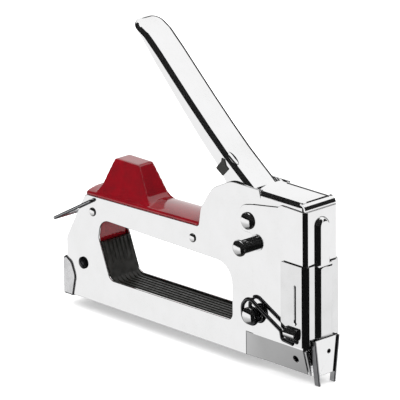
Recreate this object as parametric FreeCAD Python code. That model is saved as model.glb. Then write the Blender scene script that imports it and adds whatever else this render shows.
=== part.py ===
"""Hand staple gun with a cable fork, as separate pieces.

Millimetres, +Z up, +X towards the nose, Y across the tool and symmetric about zero.
The design is laid out with X = 0 on the front cover's face and Z = 0 at the fork's tips,
then every piece is moved so that the origin is under the middle of the tool.
"""
import FreeCAD, Part
import math
import os

from FreeCAD import Vector

os.makedirs("parts", exist_ok=True)

# ---- driving dimensions ---------------------------------------------------------------
SHEET = 1.2                 # side plates and lever
THIN = 0.9                  # front cover and nose sleeve
GAP = 0.35                  # between bodies that slide or swing past each other
WIDTH = 25.0                # over the side plates
PLATE_OUT = WIDTH / 2
PLATE_IN = PLATE_OUT - SHEET
COVER_OUT = PLATE_OUT + THIN
SLEEVE_IN = COVER_OUT + GAP
SLEEVE_OUT = SLEEVE_IN + THIN

TOP_Z = 111.0               # top edge of the side plates at the front
BASE_Z = 5.7                # underside of the magazine
PLATE_BASE_Z = 7.5          # lower edge of the side plates
LIP_Z = 22.0                # where the plates start to turn in towards the nose
LIP_REAR_X = -50.0
LIP_FULL_X = -38.0
PLATE_FRONT_X = -3.2
REAR_X = -205.0             # rear edge of the side plates

PIVOT = (-47.0, 90.5)       # lever pivot, X and Z
CROSS_PIN = (-47.0, 75.5)
LOWER_RIVET = (-41.5, 35.0)
BAIL_PIVOT = (-180.3, 72.0)
REAR_SCREW = (-190.3, 30.0)
GRIP_RIVETS = [(-181.4, 64.2), (-94.6, 68.6)]
LEVER_TURN = 42.0           # degrees from open to squeezed

PIVOT_R = 4.0
RUNNING_FIT = 0.05
BUSH_R = 4.8
LEVER_HALF = 10.8           # half width of the lever over its flanges
LEVER_IN = LEVER_HALF - SHEET

PLUNGER_X = -14.0
CUP_R = 8.0
TRUNNION_R = 2.2
LIFT_HALF_TURN = math.radians(LEVER_TURN / 2)
LIFT_REACH = PLUNGER_X - PIVOT[0]
STROKE = 2 * LIFT_REACH * math.tan(LIFT_HALF_TURN)
TRUNNION_Z = PIVOT[1] - STROKE / 2

CHANNEL_OUT = 6.8
CHANNEL_T = 0.8
CHANNEL_TOP_Z = 21.3
CORE_TOP_Z = 14.6
ROD_Z = 18.6
ROD_R = 1.5
STRIP_REAR_X = -60.0

BEAD_HALF = 5.2             # raised bead on the front cover
BEAD_HIGH = 2.6
BEAD_TOP_Z = 101.0
BEAD_BASE_Z = 29.0
SLEEVE_TOP_Z = 73.0
SLEEVE_BASE_Z = 24.0
SLEEVE_WEB_Z = 28.0
SLEEVE_REAR_X = -19.0
SLEEVE_TRAVEL = 8.0
LUG_X = (-14.2, -4.6)
LUG_Z = 31.4
LUG_R = 3.7
SLOT_X = -7.4
WIRE_R = 1.15               # nose springs
BAIL_R = 1.0

pieces = {}


# ---- shapes used again and again ------------------------------------------------------
def place(plane, u, v, at):
    """A point given in a plane of the tool, at a distance along that plane's normal."""
    if plane == "xz":
        return Vector(u, at, v)
    if plane == "yz":
        return Vector(at, u, v)
    return Vector(u, v, at)


NORMAL = {"xz": Vector(0, 1, 0), "yz": Vector(1, 0, 0), "xy": Vector(0, 0, 1)}


def corner_arc(before, corner, after, radius):
    """Start, middle and end of the arc that rounds a corner."""
    back = (before - corner).normalize()
    ahead = (after - corner).normalize()
    half = back.getAngle(ahead) / 2
    middle = (back + ahead).normalize()
    cut = radius / math.tan(half)
    return (corner + back * cut,
            corner + middle * (radius / math.sin(half) - radius),
            corner + ahead * cut)


def rounded_path(points, radii, closed):
    """Edges through the points, with each corner rounded to its radius."""
    count = len(points)
    stretches = []
    for i, point in enumerate(points):
        inside = closed or 0 < i < count - 1
        if inside and radii[i] > 0:
            stretches.append(corner_arc(points[i - 1], point, points[(i + 1) % count], radii[i]))
        else:
            stretches.append((point, None, point))
    edges = []
    for i, (start, middle, end) in enumerate(stretches):
        if middle is not None:
            edges.append(Part.Arc(start, middle, end).toShape())
        last = i == count - 1
        if last and not closed:
            continue
        following = stretches[(i + 1) % count][0]
        if (following - end).Length > 1e-6:
            edges.append(Part.LineSegment(end, following).toShape())
    return Part.Wire(edges)


def face(corners, plane, at):
    points = [place(plane, u, v, at) for u, v, _ in corners]
    return Part.Face(rounded_path(points, [radius for _, _, radius in corners], True))


def slab(corners, plane, low, high):
    """A closed outline of (u, v, corner radius), given thickness along its normal."""
    return face(corners, plane, low).extrude(NORMAL[plane] * (high - low))


def box(x, y, z):
    return Part.makeBox(x[1] - x[0], y[1] - y[0], z[1] - z[0], Vector(x[0], y[0], z[0]))


def rod(start, end, radius):
    along = Vector(*end) - Vector(*start)
    return Part.makeCylinder(radius, along.Length, Vector(*start), along)


def across(spot, radius, low, high):
    """A cylinder along Y at an X and Z spot."""
    return rod((spot[0], low, spot[1]), (spot[0], high, spot[1]), radius)


def both_sides(shape):
    return [shape, shape.mirror(Vector(0, 0, 0), Vector(0, 1, 0))]


def domed_head(spot, face_y, radius, height):
    """A rivet head standing on the face at face_y, on the side away from the middle."""
    side = 1 if face_y > 0 else -1
    skirt = height * 0.35
    rise = height - skirt
    ball_radius = (radius * radius + rise * rise) / (2 * rise)
    centre = Vector(spot[0], face_y + side * (height - ball_radius), spot[1])
    body = across(spot, radius, *sorted((face_y, face_y + side * height)))
    return body.common(Part.makeSphere(ball_radius, centre))


def bent_wire(points, radius, bends):
    """Round wire through the points, bent at each corner between its ends."""
    points = [Vector(*point) for point in points]
    path = rounded_path(points, [0] + bends + [0], False)
    section = Part.Wire(Part.makeCircle(radius, points[0], points[1] - points[0]))
    return path.makePipeShell([section], True, True)


def coil(radius, wire_radius, pitch, length):
    """A coil along +Z from the origin."""
    helix = Part.makeHelix(pitch, length, radius)
    section = Part.Wire(Part.makeCircle(wire_radius, Vector(radius, 0, 0), Vector(0, 1, 0)))
    return Part.Wire(helix.Edges).makePipeShell([section], True, True)


def join(shapes):
    whole = shapes[0].multiFuse(shapes[1:]) if len(shapes) > 1 else shapes[0]
    return whole.removeSplitter()


# ---- side plates ----------------------------------------------------------------------
PLATE_OUTLINE = [
    (LIP_REAR_X, PLATE_BASE_Z, 0), (LIP_REAR_X, LIP_Z, 0), (PLATE_FRONT_X, LIP_Z, 0),
    (PLATE_FRONT_X, TOP_Z, 2.5), (-62.0, TOP_Z, 14), (-77.5, 103.5, 14), (-87.5, 89.0, 9),
    (-89.5, 76.9, 2.2), (-187.8, 74.0, 4), (REAR_X, 43.0, 4), (REAR_X, 31.0, 0),
    (-200.0, 28.6, 4), (-196.6, 20.0, 8), (-199.5, PLATE_BASE_Z, 0)]
OPENING = [
    (-176.5, 49.0, 6), (-174.5, 61.2, 8), (-61.5, 60.2, 13), (-61.5, 25.6, 4), (-167.0, 24.4, 5)]


def nose_lip():
    """The plate's lower front, which turns in from the plate to the magazine."""
    def section(x, low_out, low_in, low_z):
        corners = [(PLATE_OUT, LIP_Z), (PLATE_IN, LIP_Z), (low_in, low_z), (low_out, low_z)]
        points = [Vector(x, y, z) for y, z in corners]
        return Part.makePolygon(points + points[:1])
    flat = section(LIP_REAR_X, PLATE_OUT, PLATE_IN, PLATE_BASE_Z)
    turned = section(LIP_FULL_X, CHANNEL_OUT + 1.4, CHANNEL_OUT + 0.2, BASE_Z)
    lip = Part.makeLoft([flat, turned], True, True)
    straight = Part.Face(turned).extrude(Vector(PLATE_FRONT_X - LIP_FULL_X, 0, 0))
    whole = lip.fuse(straight)
    sight_hole = across((-11.0, 14.0), 2.1, 0, PLATE_OUT)
    return whole.cut(sight_hole)


def side_plate():
    plate = slab(PLATE_OUTLINE, "xz", PLATE_IN, PLATE_OUT)
    plate = plate.cut(slab(OPENING, "xz", PLATE_IN - 1, PLATE_OUT + 1))
    holes = [(PIVOT, PIVOT_R), (CROSS_PIN, 2.5), (LOWER_RIVET, 3.0), (REAR_SCREW, 2.0),
             (BAIL_PIVOT, BAIL_R + RUNNING_FIT)] + [(spot, 1.6) for spot in GRIP_RIVETS]
    for spot, radius in holes:
        plate = plate.cut(across(spot, radius, PLATE_IN - 1, PLATE_OUT + 1))
    return join([plate, nose_lip()])


pieces["left_side_plate"], pieces["right_side_plate"] = both_sides(side_plate())


# ---- front cover, top cap and nose plate ----------------------------------------------
def u_sheet(outer_half, front_x, rear_x, low, high, thickness, corner):
    """Sheet bent to a U round the front of the tool."""
    outside = slab([(rear_x, -outer_half, 0), (front_x, -outer_half, corner),
                    (front_x, outer_half, corner), (rear_x, outer_half, 0)], "xy", low, high)
    inner = outer_half - thickness
    inside = slab([(rear_x - 1, -inner, 0), (front_x - thickness, -inner, corner - thickness),
                   (front_x - thickness, inner, corner - thickness), (rear_x - 1, inner, 0)],
                  "xy", low - 1, high + 1)
    return outside, inside


def bead(half, front_x, low, high):
    """Solid of a raised bead with a round top and softened front edges."""
    body = slab([(-half, low, 0), (half, low, 0), (half, high, half - 0.01),
                 (-half, high, half - 0.01)], "yz", -2.0, front_x)
    return body


COVER_REAR_X = -43.5
EAR_REAR_X = -53.5


def front_cover():
    outside, inside = u_sheet(COVER_OUT, 0.0, EAR_REAR_X, LIP_Z, 107.0, THIN, 3.0)
    raised = bead(BEAD_HALF, BEAD_HIGH, BEAD_BASE_Z, BEAD_TOP_Z)
    hollow = bead(BEAD_HALF - THIN, BEAD_HIGH - THIN, BEAD_BASE_Z - 1, BEAD_TOP_Z - THIN)
    shell = outside.fuse(raised).cut(inside).cut(hollow)
    side_shape = slab([
        (3.0, LIP_Z, 0), (3.0, 105.6, 0), (-20.0, 106.2, 2), (-22.5, 104.4, 2),
        (-43.0, 101.3, 3), (EAR_REAR_X, 99.0, 5), (EAR_REAR_X, 83.5, 4), (COVER_REAR_X, 83.5, 2),
        (COVER_REAR_X, 43.5, 2), (-49.0, 43.5, 4), (-49.0, 27.0, 4), (COVER_REAR_X, 27.0, 2),
        (COVER_REAR_X, LIP_Z, 1)], "xz", -20, 20)
    shell = shell.common(side_shape)
    for spot, radius in [(PIVOT, PIVOT_R), (LOWER_RIVET, 3.0), (CROSS_PIN, 5.2)]:
        shell = shell.cut(across(spot, radius, -20, 20))
    return shell


pieces["front_cover"] = front_cover()

CAP_HALF = PLATE_IN - 0.2


def top_cap():
    strip = slab([(-43.6, TOP_Z - 0.4 - SHEET, 0), (-0.9 - SHEET, TOP_Z - 0.4 - SHEET, 2.0),
                  (-0.9 - SHEET, 96.0, 0), (-0.9, 96.0, 0), (-0.9, TOP_Z - 0.4, 3.2),
                  (-43.6, TOP_Z - 0.4, 0)], "xz", -CAP_HALF, CAP_HALF)
    return strip.common(box((-60, 5), (-10.3, 10.3), (90, 107)).fuse(
        box((-60, -3.1), (-CAP_HALF, CAP_HALF), (105, 120))).fuse(
        box((-4, 5), (-CAP_HALF, CAP_HALF), (106.2, 120))))


pieces["top_cap"] = top_cap()

pieces["nose_plate"] = slab(
    [(-8.2, BASE_Z, 0.5), (8.2, BASE_Z, 0.5), (12.3, 21.6, 1), (9.6, 21.9, 0), (9.6, 58.0, 3),
     (-9.6, 58.0, 3), (-9.6, 21.9, 0), (-12.3, 21.6, 1)], "yz", -0.9 - SHEET, -0.9)


# ---- grip -----------------------------------------------------------------------------
GRIP_HALF = 11.2
GRIP_TOP_HALF = 12.3


def grip_section(x, edge_z, crown_z):
    """Wire across the grip's crowned top at one X."""
    foot = edge_z - 0.6
    corners = [Vector(x, -GRIP_TOP_HALF, foot), Vector(x, -GRIP_TOP_HALF, edge_z),
               Vector(x, GRIP_TOP_HALF, edge_z), Vector(x, GRIP_TOP_HALF, foot)]
    crown = Part.Arc(corners[1], Vector(x, 0, crown_z), corners[2]).toShape()
    lines = [Part.makeLine(corners[0], corners[1]), crown,
             Part.makeLine(corners[2], corners[3]), Part.makeLine(corners[3], corners[0])]
    return Part.Wire(lines)


def rectangle(x, half, z):
    corners = [Vector(x[0], -half, z), Vector(x[1], -half, z), Vector(x[1], half, z),
               Vector(x[0], half, z)]
    return Part.makePolygon(corners + corners[:1])


def grip_cover():
    core = slab([
        (-188.4, 74.6, 3), (-204.6, 43.0, 2), (-204.6, 38.5, 1), (-199.0, 38.5, 0),
        (-196.0, 51.0, 2), (-178.2, 51.0, 2), (-176.4, 61.9, 6), (-79.0, 61.9, 2),
        (-79.0, 84.5, 2), (-85.0, 86.0, 2), (-89.2, 78.4, 0), (-110.0, 77.0, 0)],
        "xz", -GRIP_HALF, GRIP_HALF)
    top = Part.makeLoft([grip_section(-187.4, 74.7, 75.8), grip_section(-183.5, 74.9, 77.8),
                         grip_section(-140.0, 76.2, 80.6), grip_section(-90.2, 77.8, 79.2)],
                        True, True)
    hump = Part.makeLoft([rectangle((-180.5, -130.0), 11.0, 77.0),
                          rectangle((-176.6, -138.0), 8.6, 82.0),
                          rectangle((-168.2, -147.6), 6.0, 99.5)], True, True)
    hollow = box((-168.0, -70.0), (-8.0, 8.0), (65.0, 73.0))
    whole = join([core, top, hump]).cut(hollow)
    for spot in GRIP_RIVETS:
        whole = whole.cut(across(spot, 1.6, -20, 20))
    return whole


pieces["grip_cover"] = grip_cover()

LINER_TOP_Z = 24.9


def grip_liner():
    body = slab([
        (-62.2, 22.2, 0), (-62.2, LINER_TOP_Z, 1), (-166.0, LINER_TOP_Z - 0.8, 4),
        (-176.2, 50.4, 1), (-179.0, 50.4, 0), (-170.0, 24.0, 2), (-168.0, 22.2, 0)],
        "xz", -GRIP_HALF, GRIP_HALF)
    ribs = []
    for step in range(-3, 4):
        y = step * 3.1
        ribs.append(box((-160.0, -64.0), (y - 0.6, y + 0.6), (LINER_TOP_Z - 1.2, LINER_TOP_Z + 0.5)))
    return join([body] + ribs)


pieces["grip_liner"] = grip_liner()


# ---- magazine -------------------------------------------------------------------------
def magazine_channel():
    outer = box((-195.0, -3.9), (-CHANNEL_OUT, CHANNEL_OUT), (BASE_Z, CHANNEL_TOP_Z))
    inner_half = CHANNEL_OUT - CHANNEL_T
    inner = box((-196.0, 0.0), (-inner_half, inner_half), (BASE_Z + 1.0, CHANNEL_TOP_Z + 1))
    return outer.cut(inner)


def magazine_core():
    outer = box((-193.0, -5.0), (-4.3, 4.3), (BASE_Z + 1.0, CORE_TOP_Z))
    inner = box((-194.0, 0.0), (-3.5, 3.5), (BASE_Z, CORE_TOP_Z - 0.8))
    return outer.cut(inner)


def staple_strip():
    legs = box((STRIP_REAR_X, -4.0), (-5.3, 5.3), (7.6, CORE_TOP_Z + 1.0))
    space = box((STRIP_REAR_X - 1, 0.0), (-4.7, 4.7), (7.0, CORE_TOP_Z + 0.4))
    return legs.cut(space)


PUSHER_X = (STRIP_REAR_X - 12.3, STRIP_REAR_X - 0.3)
CAP_FACE_X = -196.0


def pusher():
    block = slab([(-5.6, 7.6, 0), (5.6, 7.6, 0), (5.6, 20.9, 1), (-5.6, 20.9, 1)], "yz", *PUSHER_X)
    over_core = box((-90.0, -50.0), (-4.7, 4.7), (7.0, CORE_TOP_Z + 0.4))
    bore = rod((-90, 0, ROD_Z), (-50, 0, ROD_Z), ROD_R + RUNNING_FIT)
    return block.cut(over_core).cut(bore)


def pusher_spring():
    length = PUSHER_X[0] - CAP_FACE_X - 1.2
    spring = coil(1.95, 0.25, 4.4, length)
    spring.rotate(Vector(0, 0, 0), Vector(0, 1, 0), 90)
    spring.translate(Vector(CAP_FACE_X + 0.6, 0, ROD_Z))
    return spring


def end_cap():
    cheek = slab([
        (-209.0, 6.2, 1.2), (-209.0, 30.2, 2.5), (REAR_X - 0.6, 31.0, 0), (-200.9, 28.0, 4),
        (-197.3, 19.6, 8), (-200.2, 6.2, 0)], "xz", -PLATE_OUT, PLATE_OUT)
    hollow = box((-206.5, -190.0), (-PLATE_OUT + 1.6, PLATE_OUT - 1.6), (9.0, 27.0))
    plug = box((-207.0, CAP_FACE_X), (-5.7, 5.7), (16.0, 21.0))
    return join([cheek.cut(hollow), plug])


pieces["magazine_channel"] = magazine_channel()
pieces["magazine_core"] = magazine_core()
pieces["staple_strip"] = staple_strip()
pieces["pusher"] = pusher()
pieces["pusher_rod"] = rod((CAP_FACE_X, 0, ROD_Z), (-24.0, 0, ROD_Z), ROD_R)
pieces["pusher_spring"] = pusher_spring()
pieces["end_cap"] = end_cap()


# ---- rivets, pins and screws ----------------------------------------------------------
def rivet(spot, shank, seat, head_radius, head_height):
    """A rivet through the tool, with a domed head on each side standing on seat."""
    parts = [across(spot, shank, -seat, seat)]
    parts += both_sides(domed_head(spot, seat, head_radius, head_height))
    return join(parts)


pieces["lever_pivot_pin"] = rivet(PIVOT, PIVOT_R, COVER_OUT, 5.2, 2.4)
pieces["cross_pin"] = join(
    [across(CROSS_PIN, 2.5, -PLATE_OUT, PLATE_OUT)]
    + both_sides(across(CROSS_PIN, 4.1, PLATE_OUT, 20.0))
    + both_sides(domed_head(CROSS_PIN, 20.0, 5.0, 2.6)))
LOWER_SEAT = 18.0
pieces["lower_rivet"] = rivet(LOWER_RIVET, 3.0, LOWER_SEAT, 5.2, 2.4)
pieces["grip_rivets"] = Part.makeCompound(
    [rivet(spot, 1.6, PLATE_OUT, 2.7, 0.9) for spot in GRIP_RIVETS])
pieces["rear_spacer"] = across(REAR_SCREW, 3.6, -PLATE_IN, PLATE_IN).cut(
    across(REAR_SCREW, 2.0, -PLATE_IN, PLATE_IN))


def rear_screw():
    head = domed_head(REAR_SCREW, -PLATE_OUT, 3.7, 1.9)
    x, z = REAR_SCREW
    slot = box((x - 5, x + 5), (-PLATE_OUT - 3, -PLATE_OUT - 1.0), (z - 0.45, z + 0.45))
    slot.rotate(Vector(x, 0, z), Vector(0, 1, 0), 38)
    shank = across(REAR_SCREW, 2.0, -PLATE_OUT, PLATE_OUT + 3.0)
    return join([head.cut(slot), shank])


def rear_nut():
    x, z = REAR_SCREW
    corners = []
    for turn in range(6):
        angle = math.radians(60 * turn)
        corners.append((x + 4.0 * math.cos(angle), z + 4.0 * math.sin(angle), 0))
    nut = slab(corners, "xz", PLATE_OUT, PLATE_OUT + 2.6)
    return nut.cut(across(REAR_SCREW, 2.0, PLATE_OUT - 1, PLATE_OUT + 4))


pieces["rear_screw"] = rear_screw()
pieces["rear_nut"] = rear_nut()


# ---- lever ----------------------------------------------------------------------------
WEB = [(-147.0, 191.6, 0), (-131.0, 182.8, 18), (-97.0, 150.2, 90), (-68.0, 125.6, 90),
       (-45.5, 109.4, 40), (-39.4, 103.6, 0)]


def web_line(depth):
    """The web's outer line, or that line set in by a depth."""
    out = []
    for i, (x, z, radius) in enumerate(WEB):
        before = Vector(*WEB[max(i - 1, 0)][:2], 0)
        after = Vector(*WEB[min(i + 1, len(WEB) - 1)][:2], 0)
        along = (after - before).normalize()
        out.append((x + along.y * depth, z - along.x * depth, max(radius - depth, 0)))
    return out


def lever_channel():
    flange = [(-39.0, 93.0, 4), (-44.0, 83.0, 4), (-52.0, 83.0, 4), (-57.5, 95.5, 8),
              (-71.0, 113.8, 10), (-89.2, 130.4, 20), (-122.6, 164.4, 30), (-144.5, 188.0, 0)]
    body = slab(web_line(0) + flange, "xz", -LEVER_HALF, LEVER_HALF)
    below = [(-20.0, 60.0, 0), (-150.0, 60.0, 0), (-190.0, 180.0, 0)]
    inside = slab(web_line(SHEET) + below, "xz", -LEVER_IN, LEVER_IN)
    end_shape = slab([(-30.0, -LEVER_HALF, 0), (-30.0, LEVER_HALF, 0),
                      (-147.0, LEVER_HALF, 9.0), (-147.0, -LEVER_HALF, 9.0)], "xy", 70, 200)
    channel = body.cut(inside).common(end_shape)
    return channel.cut(across(PIVOT, BUSH_R, -20, 20))


pieces["lever_channel"] = lever_channel()
pieces["lever_bush"] = across(PIVOT, BUSH_R, -LEVER_HALF, LEVER_HALF).cut(
    across(PIVOT, PIVOT_R + RUNNING_FIT, -20, 20))

LIFT_PLATE = (8.35, 9.55)
LIFT_CLEAR = 0.35
FORK_RIVETS = [(-53.5, 99.0), (-56.5, 103.5)]


def lifting_fork():
    """Two plates beside the plunger, whose tines lift its trunnion, and a bridge behind."""
    tine_top = -(TRUNNION_R + LIFT_CLEAR)
    reach = LIFT_REACH / math.cos(LIFT_HALF_TURN) + 3.5
    turn = -math.degrees(LIFT_HALF_TURN)
    plate = slab([(-4.0, tine_top - 5.5, 2), (reach, tine_top - 4.0, 2), (reach, tine_top, 1),
                  (6.0, tine_top, 2), (5.0, 8.0, 3), (-6.0, 8.0, 3), (-8.0, -2.0, 3)],
                 "xz", *LIFT_PLATE)
    plate.rotate(Vector(0, 0, 0), Vector(0, 1, 0), -turn)
    plate.translate(Vector(PIVOT[0], 0, PIVOT[1]))
    tail = slab([(-52.0, 92.0, 2), (-47.0, 97.5, 2), (-54.0, 108.0, 2), (-61.5, 103.0, 2)],
                "xz", *LIFT_PLATE)
    arm = join([plate, tail])
    bridge = slab([(-58.0, 97.6, 0), (-61.5, 103.0, 0), (-60.4, 103.7, 0), (-56.9, 98.3, 0)],
                  "xz", -LIFT_PLATE[0] - 0.2, LIFT_PLATE[0] + 0.2)
    whole = join(both_sides(arm) + [bridge])
    whole = whole.cut(across(PIVOT, BUSH_R, -20, 20))
    for spot in FORK_RIVETS:
        whole = whole.cut(across(spot, 1.1, -20, 20))
    return whole


pieces["lifting_fork"] = lifting_fork()
for rivet_spot in FORK_RIVETS:
    pieces["lever_channel"] = pieces["lever_channel"].cut(across(rivet_spot, 1.1, -20, 20))
pieces["fork_rivets"] = Part.makeCompound(
    [piece for spot in FORK_RIVETS
     for piece in both_sides(across(spot, 1.1, LIFT_PLATE[0] - 0.5, LEVER_HALF))])
pieces["lever_buffer"] = slab(
    [(-77.0, 115.9, 1), (-70.4, 111.6, 1), (-63.2, 118.6, 0.5), (-70.4, 124.6, 0.5)],
    "xz", -LEVER_IN, LEVER_IN)


def lever_return_spring():
    spring = coil(6.0, 0.7, 2.1, 9.7)
    spring.rotate(Vector(0, 0, 0), Vector(1, 0, 0), -90)
    spring.translate(Vector(PIVOT[0], -5.0, PIVOT[1]))
    return spring


pieces["lever_return_spring"] = lever_return_spring()


# ---- plunger and driver ---------------------------------------------------------------
CUP_FLOOR_Z = 56.0
CUP_TOP_Z = TRUNNION_Z + 2.6
BLADE_X = (-3.5, -2.4)


def plunger_cup():
    outer = rod((PLUNGER_X, 0, CUP_FLOOR_Z), (PLUNGER_X, 0, CUP_TOP_Z), CUP_R)
    inner = rod((PLUNGER_X, 0, CUP_FLOOR_Z + 2), (PLUNGER_X, 0, CUP_TOP_Z + 1), CUP_R - 1)
    return outer.cut(inner)


def trunnions():
    spot = (PLUNGER_X, TRUNNION_Z)
    return Part.makeCompound(both_sides(across(spot, TRUNNION_R, CUP_R, 10.3).cut(
        rod((PLUNGER_X, 0, 40), (PLUNGER_X, 0, 120), CUP_R))))


BLADE_SCREWS = [(0.0, 60.5), (0.0, 66.5)]


def blade_holder():
    block = box((PLUNGER_X, BLADE_X[0]), (-4.5, 4.5), (57.0, 70.0))
    block = block.cut(rod((PLUNGER_X, 0, 40), (PLUNGER_X, 0, 120), CUP_R))
    for y, z in BLADE_SCREWS:
        block = block.cut(rod((-30, y, z), (5, y, z), 1.2))
    return block


def driver_blade():
    blade = box(BLADE_X, (-5.5, 5.5), (6.4, 72.0))
    for y, z in BLADE_SCREWS:
        blade = blade.cut(rod((-30, y, z), (5, y, z), 1.2))
    return blade


def blade_screws():
    screws = []
    for y, z in BLADE_SCREWS:
        shank = rod((-5.9, y, z), (BLADE_X[1], y, z), 1.2)
        head = rod((BLADE_X[1], y, z), (BLADE_X[1] + 0.9, y, z), 2.2)
        screws.append(join([shank, head]))
    return Part.makeCompound(screws)


pieces["plunger_cup"] = plunger_cup()
pieces["trunnions"] = trunnions()
pieces["blade_holder"] = blade_holder()
pieces["driver_blade"] = driver_blade()
pieces["blade_screws"] = blade_screws()

GUIDE_Z = 107.0


def spring_guide():
    flange_top = TOP_Z - 0.4 - SHEET
    flange = rod((PLUNGER_X, 0, GUIDE_Z), (PLUNGER_X, 0, flange_top), 6.8)
    stem = rod((PLUNGER_X, 0, 94.0), (PLUNGER_X, 0, GUIDE_Z), 3.8)
    return join([flange, stem])


def main_spring():
    wire_radius = 1.1
    spring = coil(5.6, wire_radius, 5.4, GUIDE_Z - CUP_FLOOR_Z - 2 - 2 * wire_radius - 0.4)
    spring.translate(Vector(PLUNGER_X, 0, CUP_FLOOR_Z + 2 + wire_radius + 0.2))
    return spring


pieces["spring_guide"] = spring_guide()
pieces["main_spring"] = main_spring()
pieces["bumper"] = slab(
    [(-22.0, -PLATE_IN, 1), (-4.6, -PLATE_IN, 1), (-4.6, PLATE_IN, 1), (-22.0, PLATE_IN, 1)],
    "xy", 48.5, CUP_FLOOR_Z - GAP)


# ---- nose sleeve, cable fork and their springs ----------------------------------------
SLEEVE_FRONT_X = GAP + THIN
FORK_TOP_HALF = 10.2
FORK_TIP_HALF = 6.7
FORK_FRONT_X = 4.4
FORK_WEB_X = 3.3


def nose_sleeve():
    outside, inside = u_sheet(SLEEVE_OUT, SLEEVE_FRONT_X, SLEEVE_REAR_X, SLEEVE_BASE_Z,
                              SLEEVE_TOP_Z, THIN, 3.0 + GAP + THIN)
    half = BEAD_HALF + GAP + THIN
    depth = BEAD_HIGH + GAP + THIN
    raised = slab([(-half, SLEEVE_WEB_Z, 0), (half, SLEEVE_WEB_Z, 0), (half, SLEEVE_TOP_Z, 0),
                   (-half, SLEEVE_TOP_Z, 0)], "yz", -2.0, depth)
    hollow = box((-4.0, depth - THIN), (-half + THIN, half - THIN), (0.0, 100.0))
    shell = outside.fuse(raised).cut(inside).cut(hollow)
    shell = shell.cut(box((-3.0, 8.0), (-FORK_TOP_HALF, FORK_TOP_HALF), (0.0, SLEEVE_WEB_Z)))
    slot = slab([(SLOT_X - 0.95, 36.4, 0.9), (SLOT_X + 0.95, 36.4, 0.9),
                 (SLOT_X + 0.95, 61.0, 0.9), (SLOT_X - 0.95, 61.0, 0.9)], "xz", -20, 20)
    shell = shell.cut(slot)
    lug = rod((LUG_X[0], SLEEVE_OUT, LUG_Z), (LUG_X[1], SLEEVE_OUT, LUG_Z), LUG_R)
    lug = lug.cut(box((-30, 10), (0, SLEEVE_OUT - 0.05), (0, 60)))
    return join([shell] + both_sides(lug))


def nose_fork():
    web_z = 6.0
    outline = [(-FORK_TOP_HALF, SLEEVE_WEB_Z), (FORK_TOP_HALF, SLEEVE_WEB_Z),
               (FORK_TIP_HALF, 0.0), (-FORK_TIP_HALF, 0.0)]
    wall = 1.3
    corners = [(y, z, 0) for y, z in outline]
    body = slab(corners, "yz", GAP, FORK_FRONT_X)
    inner = [(-FORK_TOP_HALF + wall, SLEEVE_WEB_Z + 1, 0), (FORK_TOP_HALF - wall, SLEEVE_WEB_Z + 1, 0),
             (FORK_TIP_HALF - wall, -1.0, 0), (-FORK_TIP_HALF + wall, -1.0, 0)]
    front = slab(inner, "yz", FORK_WEB_X, FORK_FRONT_X + 1)
    rear = slab(inner, "yz", -1.0, FORK_WEB_X - SHEET)
    notch_half = FORK_TIP_HALF - wall
    notch = box((-1, 9), (-notch_half, notch_half), (-2.0, web_z))
    keyhole = rod((-1, 2.2, 19.5), (9, 2.2, 19.5), 1.3)
    return body.cut(front).cut(rear).cut(notch).cut(keyhole)


def guide_spring():
    """Wire wound round the lower rivet's neck, whose arm hooks under the sleeve's lug."""
    x, z = LOWER_RIVET
    y = 16.45
    neck = 3.0 + WIRE_R + 0.3
    turns = [(-0.5, neck, 0), (neck, neck, 4.0), (neck, -5.2, 4.2), (-6.9, -5.2, 4.8),
             (-7.4, 4.6, 4.8), (-2.6, 10.6, 5.0)]
    points = [(x + across_x, y, z + up) for across_x, up, _ in turns]
    bends = [bend for _, _, bend in turns[1:]]
    points += [(-17.1, y, 31.6), (-16.1, y, 26.7), (-7.2, y, 25.8)]
    return bent_wire(points, WIRE_R, bends + [2.0, 2.0])


pieces["nose_sleeve"] = nose_sleeve()
pieces["nose_fork"] = nose_fork()
pieces["left_guide_spring"], pieces["right_guide_spring"] = both_sides(guide_spring())
pieces["sleeve_guide_pins"] = Part.makeCompound(
    both_sides(across((SLOT_X, 37.5), 0.8, COVER_OUT, SLEEVE_OUT + 0.7)))


# ---- wire bail ------------------------------------------------------------------------
def handle_bail():
    x, z = BAIL_PIVOT
    reach = 39.0
    tilt = math.radians(29.2)
    side = PLATE_OUT + 1.55
    end_x = x - reach * math.cos(tilt)
    end_z = z - reach * math.sin(tilt)
    inner = PLATE_IN + 0.2
    points = [(x, inner, z), (x, side, z), (end_x, side, end_z),
              (end_x, -side, end_z), (x, -side, z), (x, -inner, z)]
    return bent_wire(points, BAIL_R, [1.5] * 4)


pieces["handle_bail"] = handle_bail()

# ---- move to the origin and write -----------------------------------------------------
whole = Part.makeCompound(list(pieces.values())).BoundBox
shift = Vector(-(whole.XMin + whole.XMax) / 2, 0, -whole.ZMin)
for name, shape in pieces.items():
    shape.translate(shift)
    shape.exportStep("parts/" + name + ".step")
    solids = len(shape.Solids)
    print(name, "valid" if shape.isValid() else "INVALID", solids, "solid(s)", round(shape.Volume, 1))
print("moved by", round(shift.x, 4), round(shift.z, 4), "stroke", round(STROKE, 3))
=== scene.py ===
"""A hand staple gun with a cable fork, on a pale table.

Shapes are drawn in millimetres from the front of the nose cover, with Z from the fork's tips,
and make_piece moves them to their place in the model's own frame, in metres.
"""

import math

import bmesh
import bpy
from mathutils import Matrix, Vector


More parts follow.
